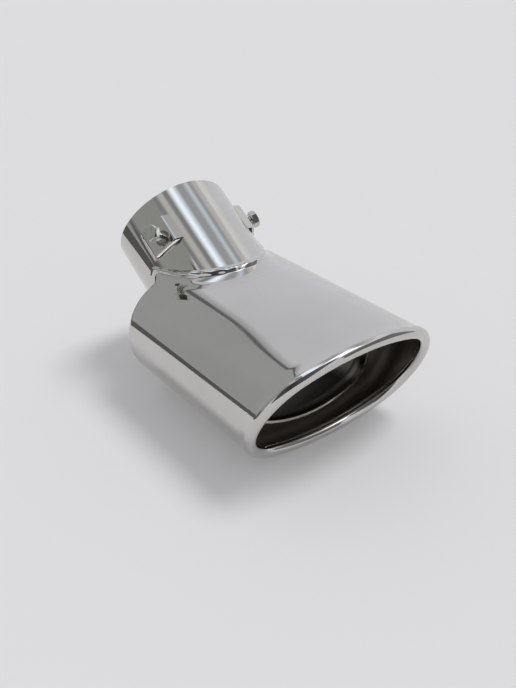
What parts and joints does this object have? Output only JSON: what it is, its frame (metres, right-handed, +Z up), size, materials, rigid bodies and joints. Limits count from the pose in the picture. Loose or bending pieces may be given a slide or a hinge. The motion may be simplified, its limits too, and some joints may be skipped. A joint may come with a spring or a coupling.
{
  "type": "exhaust tip",
  "caption": "Bent exhaust tip: a round neck that clamps over the tailpipe with hexagon screws, and a polished oval body with a slanted rolled mouth.",
  "frame": {"origin": "centre of the neck's open end, on the neck's axis", "axes": "+X along the body from the neck to the mouth, +Y to the body's left side seen from the neck, +Z up; the belly is level and the neck rises backwards at 32 degrees"},
  "size_m": [0.1701, 0.1042, 0.0983],
  "materials": {
    "polished_tube": "mirror polished stainless steel",
    "polished_body": "mirror polished stainless steel",
    "inner_sheet": "unpolished stainless steel sheet",
    "screw_steel": "bright zinc-plated steel"
  },
  "bodies": {
    "tip": {"neck_tube": "polished_tube", "body_shell": "polished_body", "inner_dish": "inner_sheet"},
    "screw_left": {"clamp_screw_left": "screw_steel"},
    "screw_right": {"clamp_screw_right": "screw_steel"},
    "screw_under": {"clamp_screw_under": "screw_steel"}
  },
  "joints": [
    {"name": "left_screw_travel", "type": "slide", "parent": "tip", "child": "screw_left", "axis": [-0.3406, 0.766, -0.5451], "range_m": [-0.0002, 0.0044]},
    {"name": "right_screw_travel", "type": "slide", "parent": "tip", "child": "screw_right", "axis": [-0.1812, -0.9397, -0.29], "range_m": [-0.002, 0.0024]},
    {"name": "under_screw_travel", "type": "slide", "parent": "tip", "child": "screw_under", "axis": [0.5219, 0.1736, 0.8352], "range_m": [-0.0013, 0.0032]}
  ]
}
